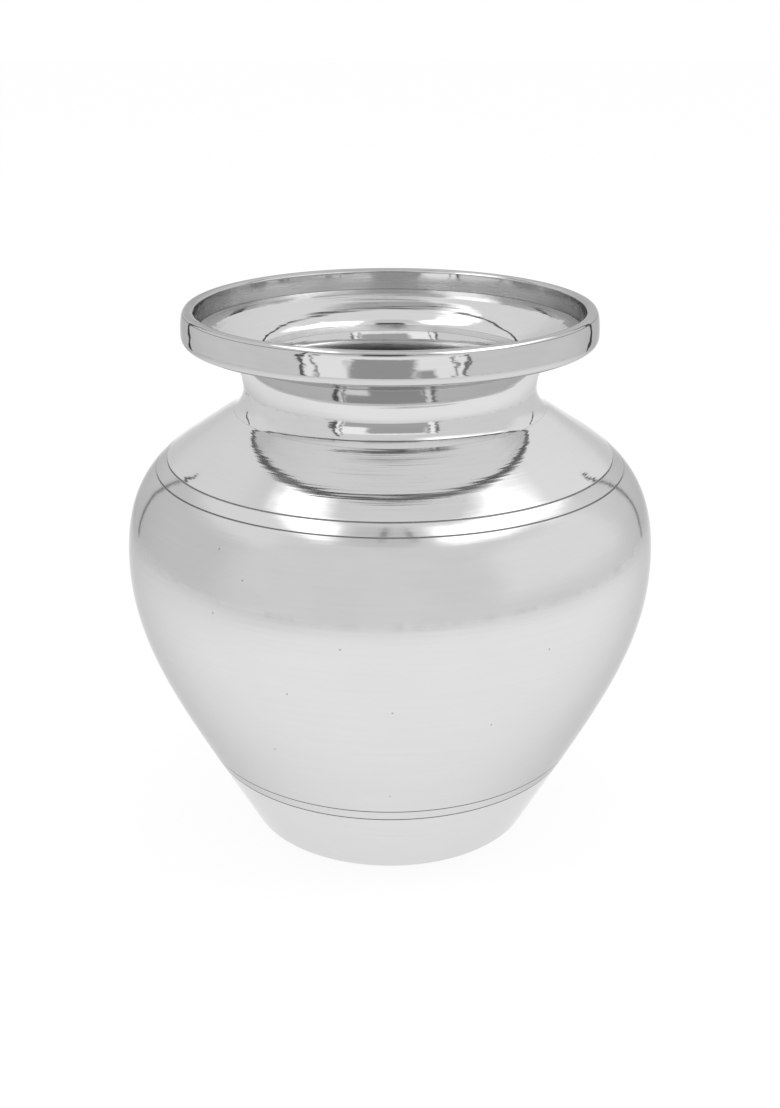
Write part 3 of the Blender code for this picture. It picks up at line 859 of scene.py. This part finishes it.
# Below this height the tongue inside the neck is rougher, and painted darker as shade
TONGUE_TOP = 0.1160              # height of the top of the throat
TONGUE_ROUGHNESS = 0.12
DISH_UNDER_ROUGHNESS = 0.16
RING_INSIDE_ROUGHNESS = 0.28
RING_UNDER_ROUGHNESS = 0.35
CROWN_LINE_WIDTH = 0.00009
RESIDUE_SHARES = (0.7, 0.8, 0.65, 0.4)  # of the width of each groove, from the base up


def body_lines(joints):
    """Height and width of the residue in the body's turned lines, from the base up."""
    heights = (joints.base_seam_height, joints.base_line_height,
               joints.shoulder_line_height, joints.shoulder_seam_height)
    grooves = (joints.heavy_line, joints.fine_line, joints.fine_line, joints.heavy_line)
    return [(height, groove * part)
            for height, groove, part in zip(heights, grooves, RESIDUE_SHARES)]


def body_metal(name, finish, gloss, lines, pits=()):
    """The silver of the three shells that make the body, duller inside."""
    return polished_metal(name, finish, finish.silver, gloss,
                          (finish.inside_silver, finish.inside_gloss), lines=lines, pits=pits)


class KALASH_OT_base_cup(bpy.types.Operator):
    """Makes the base cup: the flat foot and the lowest part of the wall."""
    bl_idname = "kalash.base_cup"
    bl_label = "Base cup"

    def execute(self, context):
        finish, plan = context.scene.kalash_finish, PotPlan(context.scene)
        metal = body_metal("base_silver", finish, finish.body_gloss, body_lines(plan.joints)[:1])
        add_piece(context, "base_cup", plan.base_cup(), metal, closed=False)
        return {"FINISHED"}


class KALASH_OT_belly_shell(bpy.types.Operator):
    """Makes the belly shell: the lower wall, the widest part and the outer shoulder."""
    bl_idname = "kalash.belly_shell"
    bl_label = "Belly shell"

    def execute(self, context):
        finish, plan = context.scene.kalash_finish, PotPlan(context.scene)
        pits = [skin_point(plan, *pit) for pit in PITS]
        metal = body_metal("belly_silver", finish, finish.body_gloss, body_lines(plan.joints), pits)
        add_piece(context, "belly_shell", plan.belly_shell(), metal)
        return {"FINISHED"}


class KALASH_OT_shoulder_shell(bpy.types.Operator):
    """Makes the shoulder shell: the straight inner shoulder up to the root of the neck."""
    bl_idname = "kalash.shoulder_shell"
    bl_label = "Shoulder shell"

    def execute(self, context):
        finish, plan = context.scene.kalash_finish, PotPlan(context.scene)
        metal = body_metal("shoulder_silver", finish, finish.shoulder_gloss,
                           body_lines(plan.joints)[3:])
        add_piece(context, "shoulder_shell", plan.shoulder_shell(), metal)
        return {"FINISHED"}


class KALASH_OT_neck_collar(bpy.types.Operator):
    """Makes the neck collar: the waisted neck below the mouth dish."""
    bl_idname = "kalash.neck_collar"
    bl_label = "Neck collar"

    def execute(self, context):
        finish = context.scene.kalash_finish
        # The dark colour deep in the throat is painted shade
        metal = polished_metal("neck_silver", finish, finish.silver, finish.rim_gloss,
                               (finish.throat_shade, THROAT_ROUGHNESS), THROAT_SHADE_TOP)
        add_piece(context, "neck_collar", PotPlan(context.scene).neck_collar(), metal)
        return {"FINISHED"}


class KALASH_OT_mouth_dish(bpy.types.Operator):
    """Makes the mouth dish, whose tongue stands in the neck."""
    bl_idname = "kalash.mouth_dish"
    bl_label = "Mouth dish"

    def execute(self, context):
        finish = context.scene.kalash_finish
        # The tongue's darker colour inside the neck is painted shade
        metal = polished_metal("dish_silver_turned", finish, finish.dish_silver, finish.dish_gloss,
                               (finish.tongue_shade, TONGUE_ROUGHNESS), TONGUE_TOP,
                               (finish.dish_under, DISH_UNDER_ROUGHNESS))
        add_piece(context, "mouth_dish", PotPlan(context.scene).mouth_dish(), metal)
        return {"FINISHED"}


class KALASH_OT_rim_ring(bpy.types.Operator):
    """Makes the heavy rim ring over the dish's edge."""
    bl_idname = "kalash.rim_ring"
    bl_label = "Rim ring"

    def execute(self, context):
        finish, plan = context.scene.kalash_finish, PotPlan(context.scene)
        # The ring's inner wall low down and its underside are painted in shade
        metal = polished_metal("rim_silver_turned", finish, finish.rim_silver, finish.rim_gloss,
                               (finish.rim_inside_shade, RING_INSIDE_ROUGHNESS),
                               plan.dish_top + plan.mouth.wall_height,
                               (finish.residue_and_shade, RING_UNDER_ROUGHNESS), RING_DOWNWARDS,
                               ((plan.crown_line, CROWN_LINE_WIDTH),))
        add_piece(context, "rim_ring", plan.rim_ring(), metal)
        return {"FINISHED"}


class KALASH_OT_solder_rings(bpy.types.Operator):
    """Makes the five rings of solder in the joints."""
    bl_idname = "kalash.solder_rings"
    bl_label = "Solder rings"

    def execute(self, context):
        metal = solder_metal(context.scene.kalash_finish)
        for node, outline in PotPlan(context.scene).solder_rings().items():
            add_piece(context, node, outline, metal)
        return {"FINISHED"}


# Studio

# The tent has three layers, and each lights its own pieces
BELLY_PIECES = ("base_cup", "belly_shell", "base_solder_ring", "shoulder_solder_ring")
NECK_PIECES = ("shoulder_shell", "neck_collar", "neck_solder_ring")
MOUTH_PIECES = ("mouth_dish", "rim_ring", "dish_solder_ring", "rim_solder_ring")

# What the metal reflects of the tent: from and to azimuth and elevation in degrees, softness of the
# sides and of the top and bottom, lean of the top and bottom in degrees per degree, and the level.
# Azimuth 0 is towards the camera, + is its right, and past 180 it goes on round the back.
TENT_LEVEL = 0.82
TENT_PATCHES = (
    ("behind", 160, 200, -25, 2, 8, 4, 0.0, 1.25),
    ("right box end", 92, 116, 38, 50, 8, 5, 0.0, 1.7),
    ("floor seam", -150, 150, -13.5, -12.5, 4, 0.3, 0.0, 0.45),
)
BELLY_PATCHES = (
    ("left upper glow", -150, -60, 32, 58, 8, 6, 0.0, 0.90),
    ("left box", -110, -42, 58, 70, 12, 4.5, -0.10, 2.3),
    ("right box", 33, 98, 48.5, 64, 8, 3.5, -0.15, 2.0),
    ("left shade", -130, -68, -14, 30, 10, 8, 0.0, 0.71),
    ("right glow", 44, 108, -3, 38, 8, 7, 0.0, 0.94),
    ("dark top", -30, 18, 54, 72, 8, 4, 0.0, 0.67),
    ("left knot", -7, -3, 62, 71, 1.0, 0.8, 1.2, 0.15),
    ("right knot", 13, 18, 61, 69, 1.0, 0.8, -1.2, 0.15),
)
NECK_PATCHES = (
    ("left box", -114, -38, 56, 70, 14, 6, -0.10, 1.9),
    ("right box", 30, 114, 40, 64, 14, 6, 0.0, 1.9),
    ("left back", -158, -104, 12, 50, 8, 6, 0.0, 0.88),
    ("right back", 104, 158, 12, 50, 8, 6, 0.0, 0.97),
    ("opening", -41.5, 34, -14, 28, 0.8, 2, 0.0, 1.12),
    ("left pleat", -43, -40, -14, 38, 0.8, 2, 0.0, 0.12),
    ("left fold", -36.5, -35, -14, 32, 0.5, 2, 0.0, 0.25),
    ("right fold", 26.5, 28, -14, 26, 0.5, 2, 0.0, 0.30),
    ("right pleat", 32.5, 35.5, -14, 26, 0.8, 2, 0.0, 0.22),
    ("centre flag", -16, 26, -14, 24, 3, 2, 0.0, 0.46),
    ("low flag", -34, 27, -14, 5, 2, 2, 0.0, 0.48),
)
MOUTH_PATCHES = (
    ("left box", -113, -40, 54, 69, 9, 3.5, -0.10, 2.4),
    ("right box", 33, 98, 39, 63, 6, 3, 0.0, 2.6),
    ("left box end", -168, -118, 58, 69, 6, 3, 0.0, 1.9),
    ("opening", -45, 38, -14, 28, 0.8, 2, 0.0, 1.12),
    ("left pleat", -46, -43, -14, 38, 0.8, 2, 0.0, 0.10),
    ("left fold", -39, -37.6, -14, 32, 0.5, 2, 0.0, 0.25),
    ("right fold", 31.5, 33, -14, 26, 0.5, 2, 0.0, 0.35),
    ("right pleat", 37, 40, -14, 26, 0.8, 2, 0.0, 0.25),
    ("centre flag", -20, 13, -14, 18, 3, 2, 0.0, 0.42),
    ("right flag", 14, 23, -14, -3, 2, 2, 0.0, 0.45),
    ("top flag", -15, 12, 34, 50, 4, 1.5, 0.0, 0.08),
    ("dark top", -30, 18, 51, 72, 8, 4, 0.0, 0.66),
    ("left back", 175, 220, 14, 30, 8, 6, 0.0, 0.72),
    ("back top", 158, 206, 60, 72, 8, 4, 0.0, 0.45),
)

# The dark hoop of each layer: how far behind the pot's axis it stands, its width, its lowest and
# highest point, and its lean: forwards by so much per height, from one height to another
BELLY_HOOP = (0.250, 0.009, -1.0, 1.0, 0.0, 0.0, 0.0)
NECK_HOOP = (0.250, 0.009, 0.15, 0.30, 0.0, 0.0, 0.0)
MOUTH_HOOP = (0.255, 0.022, -1.0, 1.0, 0.36, 0.60, 0.80)
HOOP_LEVEL = 0.08
HOOP_SIDE_SOFTNESS, HOOP_END_SOFTNESS = 0.0008, 0.01

TENT_LAYERS = (
    ("belly_tent", BELLY_PIECES, TENT_PATCHES + BELLY_PATCHES, BELLY_HOOP),
    ("neck_tent", NECK_PIECES, TENT_PATCHES + NECK_PATCHES, NECK_HOOP),
    ("mouth_tent", MOUTH_PIECES, TENT_PATCHES + MOUTH_PATCHES, MOUTH_HOOP),
)
TENT_UNSEEN_BY = ("camera", "diffuse", "shadow", "transmission", "volume_scatter")

FULL_TURN = 360.0
HALF_TURN = 180.0
FOLDS = (3.0, 0.7, 30.0)         # detail, roughness and scale of the cloth's folds
FOLD_SWAY, FOLD_SAG = 10.0, 5.0  # degrees by which the folds move a patch's edges
CLOTH = (3.0, 0.5, 9.0)          # detail, roughness and scale of the cloth's clouding
CLOTH_CONTRAST = 0.08

# The metal sees the floor darker towards the tent's wall, and on its left
FLOOR_SHADE_FROM_TO = (0.22, 0.42)
FLOOR_SHADE = 0.185
LEFT_SHADE_FROM_TO = (-0.10, -0.26)
LEFT_SHADE = 0.09
FLOOR_GRAIN = (2.0, 0.5, 14.0)   # detail, roughness and scale of the floor's grain
FLOOR_CONTRAST = 0.985
FLOOR_OFF_CAMERA = 0.85          # the floor's white for the light that it throws back

STAGE_STEPS = 96
FLOOR_ROWS = 24
DOME_ROWS = 24
WALL_ROWS = 6
LAMP_SIZE = 0.5
LAMP_AIM = (0.0, 0.0, 0.06)
LAMPS = {"left_lamp": (-0.55, -0.25, 0.75), "right_lamp": (0.60, -0.10, 0.65)}


def tent_material(name, studio, patches, hoop, see_through):
    """Plain light on the tent's cloth, with soft patches at azimuths and elevations from its eye,
    and a dark hoop that stands across the tent behind the pot."""
    bench = MaterialBench(name)
    folds = bench.noise(bench.place, *FOLDS) - 0.5
    eye_height = bench.height - studio.tent_eye
    azimuth = bench.x.math("ARCTAN2", -bench.y) * math.degrees(1) + folds * FOLD_SWAY
    elevation = eye_height.math("ARCTAN2", bench.radius) * math.degrees(1) + folds * FOLD_SAG
    round_back = azimuth.math("LESS_THAN", 0.0) * FULL_TURN + azimuth
    level = (bench.noise(bench.place, *CLOTH) - 0.5) * CLOTH_CONTRAST + TENT_LEVEL
    for label, left, right, low, high, side_soft, level_soft, lean, strength in patches:
        across = round_back if right > HALF_TURN else azimuth
        height = (across - (left + right) / 2) * -lean + elevation
        mask = across.within(left, right, side_soft) * height.within(low, high, level_soft)
        mask.socket.node.label = label
        level = mask * (strength - level) + level
    behind, width, lowest, highest, lean, knee, end = hoop
    upright = bench.height.math("MAXIMUM", knee).math("MINIMUM", end) * lean - knee * lean + bench.y
    mask = upright.within(behind, behind + width, HOOP_SIDE_SOFTNESS)
    mask = mask * bench.height.within(lowest, highest, HOOP_END_SOFTNESS)
    level = mask * (HOOP_LEVEL - level) + level
    light = bench.add("ShaderNodeEmission", None, {"Color": grey(1.0), "Strength": level})
    if see_through:
        clear = bench.add("ShaderNodeBsdfTransparent")
        light = bench.add("ShaderNodeAddShader", None, {0: light, 1: clear})
    material = bench.finish(light)
    material.cycles.emission_sampling = "NONE"
    return material


def floor_material(studio):
    """Pale floor. The camera and the metal see it nearly white, with the pot's soft shadow kept."""
    bench = MaterialBench("pale_floor")
    shown, mirrored = bench.shown()
    tone = bench.mix(bench.noise(bench.place, *FLOOR_GRAIN), grey(studio.floor_white * FLOOR_CONTRAST),
                     grey(studio.floor_white))
    shade = bench.radius.rises(*FLOOR_SHADE_FROM_TO) * FLOOR_SHADE
    shade = (bench.x.rises(*LEFT_SHADE_FROM_TO) * LEFT_SHADE + shade) * mirrored
    glow = bench.add("ShaderNodeEmission", None, {"Strength": studio.floor_glow - shade})
    cloth = bench.add("ShaderNodeBsdfDiffuse", None, {"Color": tone})
    plain = bench.add("ShaderNodeBsdfDiffuse", None, {"Color": grey(FLOOR_OFF_CAMERA)})
    both = bench.add("ShaderNodeAddShader", None, {0: glow, 1: cloth})
    return bench.finish(bench.add("ShaderNodeMixShader", None, {"Fac": shown, 1: plain, 2: both}))


def floor_outline(radius):
    """A flat disc from its edge in: its radius times the square of a share that falls to 0."""
    left = np.linspace(1, 0, FLOOR_ROWS + 1)
    return np.stack([radius * left ** 2, 0 * left], axis=1)


def tent_outline(radius, wall):
    """A quarter circle from the top of the dome down to the wall, then the upright wall."""
    rise = np.linspace(math.pi / 2, 0, DOME_ROWS + 1)
    dome = np.stack([radius * np.cos(rise), wall + radius * np.sin(rise)], axis=1)
    return np.vstack([dome, straight((radius, wall), (radius, 0.0), WALL_ROWS)[1:]])


def stage_object(context, name, outline, material):
    mesh = turned_mesh(name, outline, STAGE_STEPS, False)
    mesh.materials.append(material)
    thing = new_object(context, name, mesh)
    return thing


def add_tent(context, studio, layer):
    """One layer of the tent, which lights only its own pieces. All but the outermost are clear."""
    name, lit, patches, hoop = TENT_LAYERS[layer]
    outline = tent_outline(studio.tent_radius + layer * studio.tent_gap, studio.tent_wall)
    see_through = layer < len(TENT_LAYERS) - 1
    tent = stage_object(context, name, outline,
                        tent_material(name, studio, patches, hoop, see_through))
    for rays in TENT_UNSEEN_BY:
        setattr(tent, "visible_" + rays, False)
    lit_pieces = bpy.data.collections.new(name + "_lights")
    for node in lit:
        lit_pieces.objects.link(bpy.data.objects["fine_" + node])
    tent.light_linking.receiver_collection = lit_pieces


def add_lamp(context, name, power, place):
    """A soft square lamp that looks at the pot. The metal's highlights come from the tent."""
    lamp = bpy.data.lights.new(name, "AREA")
    lamp.energy = power
    lamp.size = LAMP_SIZE
    thing = new_object(context, name, lamp)
    thing.location = place
    aim = np.array(LAMP_AIM) - np.array(place)
    thing.rotation_euler = (math.atan2(math.hypot(aim[0], aim[1]), -aim[2]), 0.0,
                            math.atan2(aim[1], aim[0]) - math.pi / 2)
    thing.visible_glossy = False


def set_world(scene, level):
    """White all round: plain light for the floor, and a white ground for the camera."""
    scene.world = bpy.data.worlds.new("studio_air")
    bench = Bench(scene.world)
    strength = bench.shown()[0] * (1.0 - level) + level
    air = bench.add("ShaderNodeBackground", None, {"Color": grey(1.0), "Strength": strength})
    bench.add("ShaderNodeOutputWorld", None, {"Surface": air})


def set_camera(context, studio):
    """The photograph's camera: its focal length in pixels, over the long side of the picture."""
    camera = bpy.data.cameras.new("photo_camera")
    camera.sensor_width = SENSOR_LONG_SIDE
    camera.lens = studio.focal_pixels / max(PHOTO_SIZE) * SENSOR_LONG_SIDE
    camera.clip_start = NEAREST_SEEN
    thing = new_object(context, "photo_camera", camera)
    thing.location = (0.0, -studio.camera_distance, studio.camera_height)
    thing.rotation_euler = (math.pi / 2 - studio.camera_pitch, 0.0, 0.0)
    context.scene.camera = thing


class KALASH_OT_studio(bpy.types.Operator):
    """Makes the floor, the light tent, the lamps, the world and the camera."""
    bl_idname = "kalash.studio"
    bl_label = "Studio"

    def execute(self, context):
        scene = context.scene
        studio = scene.kalash_studio
        stage_object(context, "pale_floor", floor_outline(studio.floor_radius), floor_material(studio))
        for layer in range(len(TENT_LAYERS)):
            add_tent(context, studio, layer)
        for name, place in LAMPS.items():
            add_lamp(context, name, studio.lamp_power, place)
        set_world(scene, studio.world_level)
        set_camera(context, studio)
        scene.view_settings.view_transform = "Standard"
        return {"FINISHED"}


GROUPS = {
    "kalash_body": KALASH_PG_body,
    "kalash_neck": KALASH_PG_neck,
    "kalash_mouth": KALASH_PG_mouth,
    "kalash_joints": KALASH_PG_joints,
    "kalash_mesh": KALASH_PG_mesh,
    "kalash_finish": KALASH_PG_finish,
    "kalash_studio": KALASH_PG_studio,
}
OPERATORS = (
    KALASH_OT_base_cup,
    KALASH_OT_belly_shell,
    KALASH_OT_shoulder_shell,
    KALASH_OT_neck_collar,
    KALASH_OT_mouth_dish,
    KALASH_OT_rim_ring,
    KALASH_OT_solder_rings,
    KALASH_OT_studio,
)


class KALASH_PT_panel(bpy.types.Panel):
    """Lists the pieces, the studio and their sizes."""
    bl_label = "Kalash pot"
    bl_idname = "KALASH_PT_panel"
    bl_space_type = "VIEW_3D"
    bl_region_type = "UI"
    bl_category = "Kalash pot"

    def draw(self, context):
        for operator in OPERATORS:
            self.layout.operator(operator.bl_idname)
        for name, group in GROUPS.items():
            box = self.layout.box()
            box.label(text=group.__doc__)
            for size in group.__annotations__:
                box.prop(getattr(context.scene, name), size)


def register():
    for group in GROUPS.values():
        bpy.utils.register_class(group)
    for operator in OPERATORS:
        bpy.utils.register_class(operator)
    bpy.utils.register_class(KALASH_PT_panel)
    for name, group in GROUPS.items():
        setattr(bpy.types.Scene, name, PointerProperty(type=group))


def unregister():
    for name in GROUPS:
        delattr(bpy.types.Scene, name)
    bpy.utils.unregister_class(KALASH_PT_panel)
    for group in (*OPERATORS, *GROUPS.values()):
        bpy.utils.unregister_class(group)


def main():
    register()
    bpy.ops.kalash.base_cup()
    bpy.ops.kalash.belly_shell()
    bpy.ops.kalash.shoulder_shell()
    bpy.ops.kalash.neck_collar()
    bpy.ops.kalash.mouth_dish()
    bpy.ops.kalash.rim_ring()
    bpy.ops.kalash.solder_rings()
    bpy.ops.kalash.studio()


if __name__ == "__main__":
    main()
